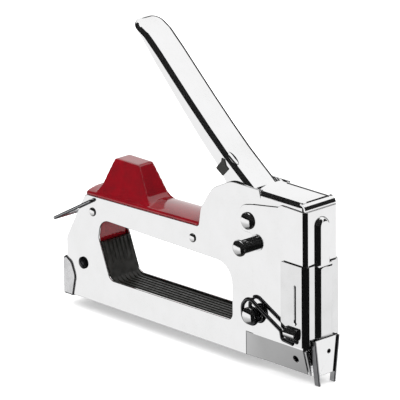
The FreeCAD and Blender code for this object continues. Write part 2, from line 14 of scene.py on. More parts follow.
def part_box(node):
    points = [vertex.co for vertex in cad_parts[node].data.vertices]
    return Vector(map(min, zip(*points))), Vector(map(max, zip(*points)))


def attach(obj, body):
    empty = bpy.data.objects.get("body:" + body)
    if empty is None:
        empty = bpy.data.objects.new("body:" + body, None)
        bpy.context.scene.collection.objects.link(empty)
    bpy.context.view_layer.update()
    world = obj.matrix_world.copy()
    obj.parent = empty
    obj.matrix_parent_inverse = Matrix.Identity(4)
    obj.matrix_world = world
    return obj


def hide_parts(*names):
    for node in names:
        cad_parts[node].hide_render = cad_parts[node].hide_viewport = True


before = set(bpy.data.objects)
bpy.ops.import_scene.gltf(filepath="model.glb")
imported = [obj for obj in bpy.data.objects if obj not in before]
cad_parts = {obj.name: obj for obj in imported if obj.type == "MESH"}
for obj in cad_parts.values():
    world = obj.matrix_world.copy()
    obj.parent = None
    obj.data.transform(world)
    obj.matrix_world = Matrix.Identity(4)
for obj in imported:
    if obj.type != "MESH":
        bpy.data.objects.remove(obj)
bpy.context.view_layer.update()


# ---- camera ---------------------------------------------------------------------------
# A long lens looks at the tool from beyond its nose and a little above, at its right side.
# It is tilted by half a degree.
turn, rise, roll = math.radians(46.6), math.radians(18.3), math.radians(-0.6)
back = Vector((math.sin(turn) * math.cos(rise), -math.cos(turn) * math.cos(rise), math.sin(rise)))
level = Vector((math.cos(turn), math.sin(turn), 0))
upright = back.cross(level)
right = math.cos(roll) * level + math.sin(roll) * upright
up = math.cos(roll) * upright - math.sin(roll) * level
camera = bpy.data.objects.new("camera", bpy.data.cameras.new("camera"))
camera.data.lens = 450
camera.data.sensor_width = 36
camera.data.clip_end = 50
camera.matrix_world = Matrix((
    (right.x, up.x, back.x, 2.02652), (right.y, up.y, back.y, -1.91229),
    (right.z, up.z, back.z, 1.00785), (0, 0, 0, 1)))
bpy.context.scene.collection.objects.link(camera)
bpy.context.scene.camera = camera
bpy.context.scene.view_settings.view_transform = "Standard"


# ---- studio ---------------------------------------------------------------------------
# A pale table under a white tent that shades to dark below. The tent has dark openings, which
# are there for reflections only: bright metal picks them up as the dark lines along its bends.
# The table and the lamps are hidden from reflections.
def plain(name, grey, glow=0.0):
    """A matt grey, which may glow a little to soften the shadows on it."""
    material = bpy.data.materials.new(name)
    material.use_nodes = True
    shader = material.node_tree.nodes["Principled BSDF"]
    shader.inputs["Base Color"].default_value = (grey, grey, grey, 1)
    shader.inputs["Roughness"].default_value = 1.0
    shader.inputs["Specular IOR Level"].default_value = 0.0
    if glow:
        shader.inputs["Emission Color"].default_value = (1, 1, 1, 1)
        shader.inputs["Emission Strength"].default_value = glow
    return material


tent = bpy.data.worlds.new("white tent")
tent.use_nodes = True
tree = tent.node_tree
where = tree.nodes.new("ShaderNodeTexCoord")
height = tree.nodes.new("ShaderNodeSeparateXYZ")
share = tree.nodes.new("ShaderNodeMapRange")
share.inputs["From Min"].default_value = -1
shade = tree.nodes.new("ShaderNodeValToRGB")
floor_stop, top_stop = shade.color_ramp.elements
floor_stop.color = (0.03, 0.03, 0.03, 1)
top_stop.color = (1, 1, 1, 1)
for place, grey in ((0.16, 0.08), (0.19, 0.40), (0.28, 0.62), (0.325, 0.92), (0.5, 0.97)):
    shade.color_ramp.elements.new(place).color = (grey, grey, grey, 1)
tree.links.new(where.outputs["Generated"], height.inputs["Vector"])
tree.links.new(height.outputs["Z"], share.inputs["Value"])
tree.links.new(share.outputs["Result"], shade.inputs["Fac"])
tree.links.new(shade.outputs["Color"], tree.nodes["Background"].inputs["Color"])
bpy.context.scene.world = tent

bm = bmesh.new()
bmesh.ops.create_grid(bm, x_segments=1, y_segments=1, size=12)
mesh = bpy.data.meshes.new("table")
bm.to_mesh(mesh)
bm.free()
mesh.materials.append(plain("pale table", 0.95, glow=0.3))
table = bpy.data.objects.new("table", mesh)
table.location.z = -0.0003
table.visible_glossy = False
bpy.context.scene.collection.objects.link(table)


def dark_opening(name, azimuths, elevations, distance=2.5):
    """A dark part of the tent, between two compass angles and two heights in degrees."""
    low, high = elevations
    rows, columns = 24, 48
    bm = bmesh.new()
    rib = []
    for step in range(rows + 1):
        angle = math.radians(low + (high - low) * step / rows)
        rib.append(bm.verts.new((distance * math.cos(angle), 0, distance * math.sin(angle))))
    line = [bm.edges.new(pair) for pair in zip(rib, rib[1:])]
    bmesh.ops.rotate(bm, verts=bm.verts, cent=(0, 0, 0),
                     matrix=Matrix.Rotation(math.radians(azimuths[0]), 3, "Z"))
    bmesh.ops.spin(bm, geom=rib + line, cent=(0, 0, 0), axis=(0, 0, 1), steps=columns,
                   angle=math.radians(azimuths[1] - azimuths[0]))
    mesh = bpy.data.meshes.new(name)
    bm.to_mesh(mesh)
    bm.free()
    mesh.materials.append(plain(name, 0.01))
    opening = bpy.data.objects.new(name, mesh)
    opening.location = (0.05, 0, 0.07)
    opening.visible_camera = False
    opening.visible_diffuse = False
    opening.visible_transmission = False
    opening.visible_shadow = False
    bpy.context.scene.collection.objects.link(opening)


dark_opening("dark room", (-108, 20), (-62, 84), distance=2.6)
dark_opening("dark shelf", (30, 64), (-6, 37))
dark_opening("dark beam", (-178, -106), (-9, 66))
dark_opening("dark post", (152, 186), (-14, 14))
dark_opening("dark doorway", (79, 130), (-12, 46))

lit_spot = Vector((0, 0, 0.08))
for name, spot, size, power in [("key lamp", (0.9, -1.1, 1.5), 1.8, 13.0),
                                ("side lamp", (-1.2, -0.6, 1.1), 1.8, 7.0),
                                ("top lamp", (0.0, 0.5, 1.8), 2.2, 12.0)]:
    lamp = bpy.data.objects.new(name, bpy.data.lights.new(name, "AREA"))
    lamp.data.size = size
    lamp.data.energy = power
    lamp.location = spot
    lamp.rotation_euler = (Vector(spot) - lit_spot).to_track_quat("Z", "Y").to_euler()
    lamp.visible_camera = False
    lamp.visible_glossy = False
    bpy.context.scene.collection.objects.link(lamp)


# ---- side plates ----------------------------------------------------------------------
# Two mirrored plates of 1.2 mm steel, pressed, folded in along the top and at the nose, and
# chromed. Everything else is riveted between them. The big opening is for the fingers.
MM = 0.001
COVER_PROUD = 0.9
FACE_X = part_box("nose_plate")[1].x + COVER_PROUD * MM
SHEET = 1.2
PLATE_OUT = 12.5
TOP_BEND = 3.8
TOP_Z = 111
LIP_TILT = 14.8


def wear_group():
    """Handling wear: cloudy smears that dull the gloss, and a faint waviness of the surface."""
    group = bpy.data.node_groups.new("handling wear", "ShaderNodeTree")
    for name, value in (("Size", 90.0), ("Low", 0.05), ("High", 0.15), ("Wave", 0.02),
                        ("Stretch", 1.0)):
        socket = group.interface.new_socket(name, in_out="INPUT", socket_type="NodeSocketFloat")
        socket.default_value = value
    for name, kind in (("Roughness", "Float"), ("Mask", "Float"), ("Normal", "Vector")):
        group.interface.new_socket(name, in_out="OUTPUT", socket_type="NodeSocket" + kind)
    nodes, links = group.nodes, group.links
    given, put = nodes.new("NodeGroupInput"), nodes.new("NodeGroupOutput")
    where = nodes.new("ShaderNodeTexCoord")
    stretch = nodes.new("ShaderNodeCombineXYZ")
    stretch.inputs["Y"].default_value = 1
    stretch.inputs["Z"].default_value = 1
    drawn = nodes.new("ShaderNodeVectorMath")
    drawn.operation = "MULTIPLY"
    clouds = nodes.new("ShaderNodeTexNoise")
    clouds.inputs["Detail"].default_value = 6
    clouds.inputs["Roughness"].default_value = 0.62
    gloss = nodes.new("ShaderNodeMapRange")
    gloss.inputs["From Min"].default_value = 0.35
    gloss.inputs["From Max"].default_value = 0.68
    swell = nodes.new("ShaderNodeTexNoise")
    swell.inputs["Scale"].default_value = 45
    swell.inputs["Detail"].default_value = 1
    bump = nodes.new("ShaderNodeBump")
    bump.inputs["Distance"].default_value = 0.001
    links.new(given.outputs["Stretch"], stretch.inputs["X"])
    links.new(where.outputs["Object"], drawn.inputs[0])
    links.new(stretch.outputs["Vector"], drawn.inputs[1])
    links.new(drawn.outputs["Vector"], clouds.inputs["Vector"])
    links.new(where.outputs["Object"], swell.inputs["Vector"])
    links.new(given.outputs["Size"], clouds.inputs["Scale"])
    links.new(clouds.outputs["Fac"], gloss.inputs["Value"])
    links.new(given.outputs["Low"], gloss.inputs["To Min"])
    links.new(given.outputs["High"], gloss.inputs["To Max"])
    links.new(swell.outputs["Fac"], bump.inputs["Height"])
    links.new(given.outputs["Wave"], bump.inputs["Strength"])
    links.new(gloss.outputs["Result"], put.inputs["Roughness"])
    links.new(clouds.outputs["Fac"], put.inputs["Mask"])
    links.new(bump.outputs["Normal"], put.inputs["Normal"])
    return group


HANDLING_WEAR = wear_group()


def finish(name, color, worn_color, metallic, gloss, size, wave, stretch=1.0, coat=0.0):
    """A finish whose colour and roughness drift between two values with handling wear."""
    material = bpy.data.materials.new(name)
    material.use_nodes = True
    nodes, links = material.node_tree.nodes, material.node_tree.links
    shader = nodes["Principled BSDF"]
    shader.inputs["Metallic"].default_value = metallic
    shader.inputs["Coat Weight"].default_value = coat
    shader.inputs["Coat Roughness"].default_value = 0.06
    wear = nodes.new("ShaderNodeGroup")
    wear.node_tree = HANDLING_WEAR
    for socket, value in (("Size", size), ("Low", gloss[0]), ("High", gloss[1]), ("Wave", wave),
                          ("Stretch", stretch)):
        wear.inputs[socket].default_value = value
    tint = nodes.new("ShaderNodeValToRGB")
    tint.color_ramp.elements[0].position = 0.38
    tint.color_ramp.elements[0].color = (*color, 1)
    tint.color_ramp.elements[1].position = 0.72
    tint.color_ramp.elements[1].color = (*worn_color, 1)
    links.new(wear.outputs["Mask"], tint.inputs["Fac"])
    links.new(tint.outputs["Color"], shader.inputs["Base Color"])
    links.new(wear.outputs["Roughness"], shader.inputs["Roughness"])
    links.new(wear.outputs["Normal"], shader.inputs["Normal"])
    return material


CHROME = finish("bright chrome", (0.93, 0.93, 0.935), (0.90, 0.90, 0.90), 1, (0.03, 0.09), 70, 0.012)


def outline(bm, corners, segments=8):
    """A flat face in the XZ plane through corners of (x, z, radius)."""
    spots = [Vector((x, 0, z)) for x, z, _ in corners]
    verts = [bm.verts.new(spot) for spot in spots]
    bm.faces.new(verts)
    for i, (_, _, radius) in enumerate(corners):
        if radius:
            before, after = spots[i - 1] - spots[i], spots[(i + 1) % len(spots)] - spots[i]
            bmesh.ops.bevel(bm, geom=[verts[i]], offset=radius / math.tan(before.angle(after) / 2),
                            offset_type="OFFSET", segments=segments, profile=0.5,
                            affect="VERTICES", material=-1, clamp_overlap=False)
    bmesh.ops.remove_doubles(bm, verts=bm.verts, dist=0.03)


def round_hole(x, z, radius):
    """Corners of a round hole, for outline."""
    bend = radius - 0.01
    return [(x - radius, z - radius, bend), (x - radius, z + radius, bend),
            (x + radius, z + radius, bend), (x + radius, z - radius, bend)]


def panel(bm, corners, holes, y):
    """A flat sheet with holes in it, at one Y."""
    outline(bm, corners)
    for hole in holes:
        outline(bm, hole)
    bmesh.ops.delete(bm, geom=bm.faces[:], context="FACES_ONLY")
    bmesh.ops.triangle_fill(bm, use_beauty=True, edges=bm.edges[:], normal=(0, -1, 0))
    bmesh.ops.dissolve_limit(bm, angle_limit=0.01, verts=bm.verts, edges=bm.edges)
    bmesh.ops.translate(bm, vec=(0, y, 0), verts=bm.verts)


def made_verts(made):
    return [item for item in made["geom"] if isinstance(item, bmesh.types.BMVert)]


def ends(edges):
    """The edges' vertices, each once, in a fixed order."""
    return list(dict.fromkeys(vert for edge in edges for vert in edge.verts))


def edges_where(bm, test):
    return [edge for edge in bm.edges if all(test(vert.co) for vert in edge.verts)]


def fold(bm, edges, centre, axis, degrees, steps=8):
    """Bends the sheet on from some edges, and returns the edges where the bend ends."""
    made = bmesh.ops.spin(bm, geom=edges + ends(edges), cent=centre, axis=axis,
                          angle=math.radians(degrees), steps=steps)
    return [item for item in made["geom_last"] if isinstance(item, bmesh.types.BMEdge)]


def join(bm, other):
    """Moves all of another shape into this one."""
    mesh = bpy.data.meshes.new("joined")
    other.to_mesh(mesh)
    other.free()
    bm.from_mesh(mesh)
    bpy.data.meshes.remove(mesh)


def make_piece(bm, name, body, material, stands_for, sheet=0, edge=0):
    """Turns a shape in millimetres into a piece on its body, as sheet metal if given a thickness."""
    bmesh.ops.remove_doubles(bm, verts=bm.verts, dist=1e-4)
    bmesh.ops.recalc_face_normals(bm, faces=bm.faces)
    bmesh.ops.scale(bm, vec=(MM, MM, MM), verts=bm.verts)
    bmesh.ops.translate(bm, vec=(FACE_X, 0, 0), verts=bm.verts)
    mesh = bpy.data.meshes.new(name)
    bm.to_mesh(mesh)
    bm.free()
    mesh.polygons.foreach_set("use_smooth", [True] * len(mesh.polygons))
    mesh.set_sharp_from_angle(angle=math.radians(40))
    mesh.materials.append(material)
    piece = bpy.data.objects.new(name, mesh)
    bpy.context.scene.collection.objects.link(piece)
    if sheet:
        wall = piece.modifiers.new("sheet", "SOLIDIFY")
        wall.thickness = sheet * MM
        wall.offset = -1
    if edge:
        soft = piece.modifiers.new("edges", "BEVEL")
        soft.width = edge * MM
        soft.segments = 2
        soft.limit_method = "ANGLE"
        soft.angle_limit = math.radians(50)
    if sheet or edge:
        flat = piece.modifiers.new("flat faces", "WEIGHTED_NORMAL")
        flat.keep_sharp = True
    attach(piece, body)
    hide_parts(*stands_for)
    return piece


def side_plate(name, stands_for, side):
    """One plate: its flat with both openings, its top fold, and the lip turned in at the nose."""
    bm = bmesh.new()
    bend_z = TOP_Z - TOP_BEND
    panel(bm, [(-50, 7.5, 0), (-50, 22, 0), (-3.2, 22, 0), (-3.2, bend_z, 0), (-37.5, bend_z, 0),
               (-38.5, TOP_Z, 0), (-62, TOP_Z, 14), (-77.5, 103.5, 14), (-87.5, 89, 9),
               (-89.5, 76.9, 2.2), (-187.8, 74, 4), (-205, 43, 4), (-205, 31, 0),
               (-200, 28.6, 4), (-196.6, 20, 8), (-199.5, 7.5, 0)],
          [[(-176.5, 49, 6), (-174.5, 61.2, 8), (-61.5, 60.2, 13), (-61.5, 25.6, 4),
            (-167, 24.4, 5)], round_hole(-180.3, 72, 1)], -PLATE_OUT)
    top = edges_where(bm, lambda co: abs(co.z - bend_z) < 0.01)
    fold(bm, top, (0, TOP_BEND - PLATE_OUT, bend_z), (1, 0, 0), -90)
    lip = bmesh.new()
    lip_y = 0.02 - PLATE_OUT
    panel(lip, [(-38, 22, 0), (-3.2, 22, 0), (-3.2, 5.14, 0), (-38, 5.14, 0)],
          [round_hole(-11, 13.8, 2.1)], lip_y)
    bmesh.ops.rotate(lip, verts=lip.verts, cent=(0, lip_y, 22),
                     matrix=Matrix.Rotation(math.radians(LIP_TILT), 3, "X"))
    rear = sorted((vert for vert in lip.verts if vert.co.x < -37.9), key=lambda vert: vert.co.z)
    lip.faces.new([lip.verts.new((-50, lip_y, 21.95)), lip.verts.new((-50, lip_y, 7.5)), *rear])
    join(bm, lip)
    if side > 0:
        bmesh.ops.scale(bm, vec=(1, -1, 1), verts=bm.verts)
    make_piece(bm, name, "frame", CHROME, [stands_for], sheet=SHEET, edge=0.5)


side_plate("right_plate", "right_side_plate", -1)
side_plate("left_plate", "left_side_plate", 1)


# ---- top strip ------------------------------------------------------------------------
# A narrow chromed strip that closes the top between the plates' folded edges. It widens at
# the front and turns down there, in front of the main spring and behind the nose cover.
STRIP_HALF, FRONT_HALF = 9.5, 12.4
STRIP_BEND = 4.2
STRIP_Z = 110.5


def carry(bm, edges, by):
    """Carries the sheet straight on from some edges, and returns the edges where it ends."""
    made = bmesh.ops.extrude_edge_only(bm, edges=edges)
    bmesh.ops.translate(bm, vec=by, verts=made_verts(made))
    return [item for item in made["geom"] if isinstance(item, bmesh.types.BMEdge)]


bm = bmesh.new()
rear = [bm.verts.new((-43.6, y, STRIP_Z)) for y in (-STRIP_HALF, STRIP_HALF)]
line = carry(bm, [bm.edges.new(rear)], (38.5, 0, 0))
line = carry(bm, line, (0.02, 0, 0))
bmesh.ops.scale(bm, vec=(1, FRONT_HALF / STRIP_HALF, 1), verts=ends(line))
line = fold(bm, line, (-5.08, 0, STRIP_Z - STRIP_BEND), (0, 1, 0), 90)
carry(bm, line, (0, 0, -6))
make_piece(bm, "top_strip", "frame", CHROME, ["top_cap"], sheet=SHEET, edge=0.2)


# ---- nose cover -----------------------------------------------------------------------
# A chromed sheet folded round the front of both plates, with ears under the pivot rivet and
# the lower rivet, and a raised bead pressed up the middle that the sleeve slides on.
THIN = 0.9
QUARTER_TURN = Matrix.Rotation(math.pi / 2, 3, "Z")


def folded_cover(corners, holes, half, front, radius):
    """A sheet folded round the nose, from its right side: the side, its bend and half the front."""
    bm = bmesh.new()
    panel(bm, corners, holes, -half)
    line = edges_where(bm, lambda co: abs(co.x - front + radius) < 0.01)
    line = fold(bm, line, (front - radius, radius - half, 0), (0, 0, 1), 90, 10)
    carry(bm, line, (0, half - radius, 0))
    return bm


def mirror_across(bm):
    bmesh.ops.mirror(bm, geom=bm.verts[:] + bm.edges[:] + bm.faces[:], axis="Y", merge_dist=1e-3)


def raise_bead(bm, corners, start, front, rim):
    """Adds a bead with rounded edges, standing out along X from start to front."""
    raised = bmesh.new()
    outline(raised, corners, 12)
    bmesh.ops.rotate(raised, verts=raised.verts, cent=(0, 0, 0), matrix=QUARTER_TURN)
    bmesh.ops.translate(raised, vec=(start, 0, 0), verts=raised.verts)
    top = raised.faces[:]
    raised.normal_update()
    if top[0].normal.x < 0:
        bmesh.ops.reverse_faces(raised, faces=top)
    bmesh.ops.inset_region(raised, faces=top, thickness=0.001, depth=front - start - rim,
                           use_even_offset=True, use_boundary=True)
    for step in range(6):
        near, far = math.radians(15 * step), math.radians(15 * step + 15)
        bmesh.ops.inset_region(raised, faces=top, thickness=rim * (math.cos(near) - math.cos(far)),
                               depth=rim * (math.sin(far) - math.sin(near)),
                               use_even_offset=True, use_boundary=True)
    join(bm, raised)


bm = folded_cover([(-3, 22, 0), (-3, 105.8, 0), (-20, 106.2, 2), (-22.5, 104.4, 2),
                   (-43, 101.3, 3), (-53.5, 99, 5), (-53.5, 83.5, 4), (-43.5, 83.5, 2),
                   (-43.5, 43.5, 2), (-49, 43.5, 4), (-49, 27, 4), (-43.5, 27, 2),
                   (-43.5, 22, 1)], [], half=13.4, front=0, radius=3)
mirror_across(bm)
raise_bead(bm, [(-5.2, 60, 0), (5.2, 60, 0), (5.2, 101, 5.2), (-5.2, 101, 5.2)],
           start=-0.3, front=2.6, rim=2.6)
make_piece(bm, "nose_cover", "frame", CHROME, ["front_cover"], sheet=THIN, edge=0.42)


# ---- lever ----------------------------------------------------------------------------
# The handle that is squeezed: one long channel pressed from 1.2 mm steel and chromed, its
# sides deeper towards the pivot and its end rounded.
LEVER_HALF = 10.8
LEVER_TIP_RADIUS = 8.5
LEVER_BEND = 3.2
TIP, TIP_RIM = Vector((-147, 0, 191.6)), Vector((-144.5, 0, 188))
DOWN_WEB, DOWN_RIM = Vector((0.876, 0, -0.482)), Vector((0.68, 0, -0.733))
TIP_UP = Vector((0.482, 0, 0.876))
# Points down the lever's side: the web's x and z, and then the rim's.
LEVER_SIDE = [(-134, 184.4, -136.0, 178.9), (-130.5, 181.4, -133.5, 176.2),
              (-123, 174.9, -126.7, 168.6), (-110, 162.8, -114.6, 156.2),
              (-97, 150.9, -102.6, 143.9), (-82, 137.6, -89.2, 130.6),
              (-68, 125.9, -75.5, 118.2), (-57, 117.7, -63.5, 103.6),
              (-51, 113.3, -57.3, 94.9), (-47, 110.3, -54.2, 87.8),
              (-44.5, 108.3, -51.5, 83.4), (-42.5, 106.6, -46, 83),
              (-40.5, 104.8, -42, 86.6), (-39.4, 103.6, -39, 92.5)]


def chain(bm, spots):
    """A line of edges through some points."""
    verts = [bm.verts.new(spot) for spot in spots]
    return [bm.edges.new(pair) for pair in zip(verts, verts[1:])]


def lever_path():
    """From the middle of the tip down one side: web corner, rim, way up and way out at each point."""
    path = [(TIP, TIP_RIM, TIP_UP, -DOWN_WEB)]
    for step in range(10, -1, -1):
        angle = math.radians(9 * step)
        along = LEVER_TIP_RADIUS * (1 - math.sin(angle))
        side = Vector((0, LEVER_TIP_RADIUS * (1 - math.cos(angle)) - LEVER_HALF, 0))
        out = Vector((0, -math.cos(angle), 0)) - DOWN_WEB * math.sin(angle)
        path.append((TIP + DOWN_WEB * along + side, TIP_RIM + DOWN_RIM * along + side, TIP_UP, out))
    webs = [Vector((x, 0, z)) for x, z, _, _ in LEVER_SIDE]
    for i, (x, z, low_x, low_z) in enumerate(LEVER_SIDE):
        run = (webs[min(i + 1, len(webs) - 1)] - webs[max(i - 1, 0)]).normalized()
        path.append((Vector((x, -LEVER_HALF, z)), Vector((low_x, -LEVER_HALF, low_z)),
                     Vector((-run.z, 0, run.x)), Vector((0, -1, 0))))
    return path


path = lever_path()
bm = bmesh.new()
line = chain(bm, [rim for _, rim, _, _ in path])
for step in range(9):
    angle = math.radians(11.25 * step)
    above = chain(bm, [corner - way_up * LEVER_BEND * (1 - math.sin(angle))
                       - out * LEVER_BEND * (1 - math.cos(angle)) for corner, _, way_up, out in path])
    bmesh.ops.bridge_loops(bm, edges=line + above)
    line = above
inner = [corner - out * LEVER_BEND for corner, _, _, out in path]
bmesh.ops.bridge_loops(bm, edges=line + chain(bm, [(spot.x, 0, spot.z) for spot in inner]))
bmesh.ops.remove_doubles(bm, verts=bm.verts, dist=0.01)
mirror_across(bm)
make_piece(bm, "lever", "lever", CHROME, ["lever_channel"], sheet=SHEET, edge=0.25)


# ---- lever boss -----------------------------------------------------------------------
# A small oval boss pressed up out of the lever's steel, beside its right bend, above the
# stop block. It is chromed with the lever.
bm = bmesh.new()
bmesh.ops.create_uvsphere(bm, u_segments=32, v_segments=16, radius=1)
bmesh.ops.scale(bm, vec=(5.2, 2.2, 0.9), verts=bm.verts)
bmesh.ops.rotate(bm, verts=bm.verts, cent=(0, 0, 0), matrix=Matrix.Rotation(math.radians(38), 3, "Y"))
bmesh.ops.translate(bm, vec=(-64.4, -7.9, 123.0), verts=bm.verts)
make_piece(bm, "lever_emboss", "lever", CHROME, [])


# ---- lever stop block -----------------------------------------------------------------
# A block of black rubber held across the lever, whose ends show on both sides of it. It
# cushions the lever where it meets the grip.
BLACK = finish("black rubber", (0.012, 0.012, 0.010), (0.03, 0.03, 0.027), 0, (0.32, 0.6), 260, 0.25)


def thicken(bm, across):
    """Draws a flat outline out along Y, by the same distance each side of the middle."""
    bmesh.ops.translate(bm, vec=(0, -across, 0), verts=bm.verts)
    made = bmesh.ops.extrude_face_region(bm, geom=bm.faces[:])
    bmesh.ops.translate(bm, vec=(0, 2 * across, 0), verts=made_verts(made))
    bmesh.ops.recalc_face_normals(bm, faces=bm.faces)


bm = bmesh.new()
outline(bm, [(-76, 115.6, 0.8), (-70.2, 111.8, 0.8), (-64.8, 117.2, 0.5), (-67, 118.8, 0),
             (-68.4, 122.6, 0), (-71, 122.8, 0), (-71.4, 120.6, 0)])
thicken(bm, 11.25)
make_piece(bm, "lever_stop_block", "lever", BLACK, ["lever_buffer"], edge=0.4)


# ---- grip -----------------------------------------------------------------------------
# Glossy red plastic moulded in one piece: a rounded back, a hump that fits the palm and
# fills the squeezed lever, and a tongue running forward. Two rivets hold it in the plates.
RED = finish("glossy red plastic", (0.21, 0.005, 0.010), (0.15, 0.004, 0.008), 0, (0.06, 0.16), 120,
             0.05, coat=0.6)
GRIP_HALF = 12.3
TONGUE_LENGTH, TONGUE_SLOPE = 97.4, 0.0297


def loft(bm, levels):
    """A closed solid through flat rectangles, rising along Z, each given by two corners."""
    low, high = levels[0]
    section = bm.faces.new([bm.verts.new((x, y, low[2])) for x, y in (
        (low[0], low[1]), (high[0], low[1]), (high[0], high[1]), (low[0], high[1]))])
    for before, after in zip(levels, levels[1:]):
        made = bmesh.ops.extrude_face_region(bm, geom=[section])
        section = [item for item in made["geom"] if isinstance(item, bmesh.types.BMFace)][0]
        for vert in section.verts:
            for i in range(3):
                span = before[1][i] - before[0][i]
                along = (vert.co[i] - before[0][i]) / span if span else 0
                vert.co[i] = after[0][i] + along * (after[1][i] - after[0][i])


bm = bmesh.new()
outline(bm, [(-188.4, 74.6, 3), (-204.6, 43, 2), (-204.6, 38.5, 1), (-199, 38.5, 0),
             (-196, 44, 0), (-177.6, 44, 0), (-176.4, 61.9, 6), (-79, 61.9, 2),
             (-79, 84.5, 2), (-85, 86, 2), (-89.2, 78.4, 0), (-110, 77, 0)])
thicken(bm, 11.2)
crown = bmesh.new()
outline(crown, [(-GRIP_HALF, 75.4, 0), (GRIP_HALF, 75.4, 0), (GRIP_HALF, 77.4, 0),
                (0, 83.1, 28.8), (-GRIP_HALF, 77.4, 0)], 16)
bmesh.ops.rotate(crown, verts=crown.verts, cent=(0, 0, 0), matrix=QUARTER_TURN)
made = bmesh.ops.extrude_face_region(crown, geom=crown.faces[:])
bmesh.ops.translate(crown, vec=(TONGUE_LENGTH, 0, 0), verts=made_verts(made))
for vert in crown.verts:
    vert.co.z += TONGUE_SLOPE * (vert.co.x - 47.6)
bmesh.ops.translate(crown, vec=(-187.6, 0, 0), verts=crown.verts)
bmesh.ops.recalc_face_normals(crown, faces=crown.faces)
join(bm, crown)
loft(bm, [((-180.5, -11, 76), (-130, 11, 76)), ((-176.6, -9, 82), (-137.6, 9, 82)),
          ((-168.2, -6.2, 99.5), (-147.6, 6.2, 99.5))])
grip = make_piece(bm, "grip", "frame", RED, ["grip_cover"])
fuse = grip.modifiers.new("fuse", "REMESH")
fuse.mode = "VOXEL"
fuse.voxel_size = 0.6 * MM
fuse.use_smooth_shade = True
relax = grip.modifiers.new("relax", "SMOOTH")
relax.factor = 0.5
relax.iterations = 18


# ---- finger rest ----------------------------------------------------------------------
# A black liner of soft plastic with seven ribs along it, pressed over the lower bar and up
# the back of the finger opening, between the plates.
RIB_PITCH, RIB_HALF, RIB_RISE = 3.1, 0.75, 0.9
ribs = [(RIB_PITCH * i, RIB_HALF, RIB_RISE) for i in range(-3, 4)]
bm = bmesh.new()
for middle, half, rise in [(0, 11.2, 0), *ribs]:
    strip = bmesh.new()
    outline(strip, [(-62.2, 21.6, 0), (-62.2, 23.2 + rise, 0.6), (-165.6 - rise, 22.4 + rise, 6),
                    (-174.4 + rise, 46.4, 0.6), (-177.0, 46.4, 0.6), (-170, 24, 0),
                    (-168, 21.6, 0)])
    thicken(strip, half)
    bmesh.ops.translate(strip, vec=(0, middle, 0), verts=strip.verts)
    join(bm, strip)
make_piece(bm, "finger_rest", "frame", BLACK, ["grip_liner"])


# ---- magazine -------------------------------------------------------------------------
# A channel of plated steel along the bottom, with a core that the strip of staples straddles.
# A rod down the middle carries the spring, which presses the pusher against the staples.
ZINC = finish("zinc plate", (0.60, 0.61, 0.62), (0.46, 0.47, 0.49), 1, (0.22, 0.42), 320, 0.05,
              stretch=0.2)
STAPLE = finish("staple wire", (0.74, 0.74, 0.75), (0.60, 0.60, 0.60), 1, (0.18, 0.35), 500, 0.05)
WIRE = finish("spring wire", (0.17, 0.17, 0.18), (0.09, 0.09, 0.09), 1, (0.14, 0.28), 400, 0.02)


def dress(material, *nodes):
    """Gives a finish to parts of the frame whose shape stays as it is."""
    for node in nodes:
        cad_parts[node].data.materials.clear()
        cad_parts[node].data.materials.append(material)


dress(ZINC, "magazine_channel", "magazine_core", "pusher", "pusher_rod")
dress(STAPLE, "staple_strip")
dress(WIRE, "pusher_spring")


# ---- end cap --------------------------------------------------------------------------
# A grey die casting that closes the magazine at the back, fixed to the rod. Pulled back, it
# brings out the rod with its spring and the pusher, to load staples.
CAST = finish("grey casting", (0.80, 0.80, 0.81), (0.72, 0.72, 0.73), 1, (0.20, 0.34), 200, 0.08)
bm = bmesh.new()
outline(bm, [(-209, 6.2, 1.2), (-209, 30.2, 2.5), (-205.6, 31, 0), (-200.9, 28, 4),
             (-197.3, 19.6, 8), (-200.2, 6.2, 0)])
thicken(bm, PLATE_OUT)
make_piece(bm, "magazine_end_cap", "loader", CAST, ["end_cap"], edge=1.3)


# ---- lifting works --------------------------------------------------------------------
# Plated steel: the lever turns on a bush, and a fork riveted inside it lifts the plunger by
# its trunnions. A small coil spring opens the lever again.
dress(ZINC, "lever_bush", "lifting_fork", "fork_rivets", "trunnions")
dress(WIRE, "lever_return_spring")


# ---- plunger and blade ----------------------------------------------------------------
# A steel cup that the main spring drives down. Its holder and two screws carry the blade,
# which slides behind the hardened nose plate, and a rubber bumper stops the cup.
DARK = finish("blackened steel", (0.10, 0.10, 0.11), (0.05, 0.05, 0.05), 1, (0.28, 0.45), 300, 0.05)
dress(ZINC, "plunger_cup", "blade_holder", "driver_blade", "spring_guide")
dress(WIRE, "main_spring")
dress(DARK, "blade_screws")
dress(CHROME, "nose_plate")
dress(BLACK, "bumper")


# ---- nose sleeve ----------------------------------------------------------------------
# A second chromed sheet outside the nose cover. It slides up and down on the cover's bead
# and on two guide pins in its slots, and carries the cable fork.
# Painted shade: the sleeve's chrome is a darker grey than the cover's, standing in for the duller
# reflection its sides catch. Only its slightly rougher gloss is a real satin finish.
SATIN_CHROME_WITH_PAINTED_SHADE = finish("satin chrome darkened for painted shade", (0.84, 0.84, 0.845), (0.79, 0.79, 0.79), 1, (0.06, 0.13), 70, 0.012)
SLEEVE_BASE = 28
bm = folded_cover([(-3, 24, 0), (-3, 73, 0), (-19, 73, 0.6), (-19, 24, 0.6)],
                  [[(-8.35, 36.4, 0.9), (-6.45, 36.4, 0.9), (-6.45, 61, 0.9), (-8.35, 61, 0.9)]],
                  half=14.65, front=1.25, radius=4.25)
bmesh.ops.bisect_plane(bm, geom=bm.verts[:] + bm.edges[:] + bm.faces[:],
                       plane_co=(0, 0, SLEEVE_BASE), plane_no=(0, 0, 1))
middles = [(face, face.calc_center_median()) for face in bm.faces]
bmesh.ops.delete(bm, geom=[face for face, at in middles if at.z < SLEEVE_BASE and at.x > 1.2],
                 context="FACES")
mirror_across(bm)
raise_bead(bm, [(-6.4, SLEEVE_BASE, 0), (6.4, SLEEVE_BASE, 0), (6.4, 73, 0), (-6.4, 73, 0)],
           start=1.0, front=3.85, rim=2.8)
